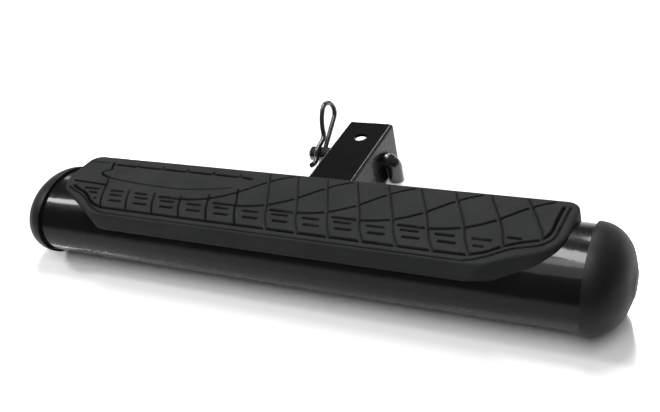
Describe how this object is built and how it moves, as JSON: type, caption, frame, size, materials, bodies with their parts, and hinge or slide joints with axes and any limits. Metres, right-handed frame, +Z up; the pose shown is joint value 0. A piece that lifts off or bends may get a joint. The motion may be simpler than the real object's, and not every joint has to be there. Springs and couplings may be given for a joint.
{
  "type": "tailgate step",
  "caption": "Hitch-mounted tailgate step: an oval tube with a crowned tread pad and domed end caps on a square hitch bar with a bent pin and spring clip.",
  "frame": {"origin": "under the middle of the whole step's box, on the surface that it stands on", "axes": "+X along the oval tube, +Y from the step towards the vehicle along the hitch bar, +Z up"},
  "size_m": [0.6026, 0.2646, 0.0821],
  "materials": {
    "gloss_black_steel": "gloss black powder coat on steel",
    "tread_plastic": "moulded, fine matt grain",
    "stud_plastic": "moulded nylon",
    "cap_plastic": "moulded, satin",
    "black_hardware": "black oxide",
    "zinc_hardware": "zinc plated",
    "dark_plated_steel": "dark plated, glossy"
  },
  "bodies": {
    "step": {"step_tube": "gloss_black_steel", "step_pad": "tread_plastic", "pad_studs": "stud_plastic", "end_cap_left": "cap_plastic", "end_cap_right": "cap_plastic", "cap_screws": "black_hardware", "hitch_bar": "gloss_black_steel", "bracket_cheek_left": "gloss_black_steel", "bracket_cheek_right": "gloss_black_steel", "bracket_stop_plate": "gloss_black_steel", "bracket_top_plate": "gloss_black_steel", "weld_bead_left": "gloss_black_steel", "weld_bead_right": "gloss_black_steel", "bar_bolts": "zinc_hardware", "flat_washers": "zinc_hardware", "spring_washers": "zinc_hardware", "bar_nuts": "zinc_hardware", "crush_sleeves": "zinc_hardware"},
    "hitch_pin": {"hitch_pin": "dark_plated_steel"},
    "pin_clip": {"pin_clip": "dark_plated_steel"}
  },
  "joints": [
    {"name": "pin_slide", "type": "slide", "parent": "step", "child": "hitch_pin", "axis": [1, 0, 0], "range_m": [0, 0.02]},
    {"name": "clip_pull", "type": "slide", "parent": "hitch_pin", "child": "pin_clip", "axis": [0, 0.848, 0.5299], "range_m": [0, 0.04], "deforming": ["pin_clip"]}
  ]
}
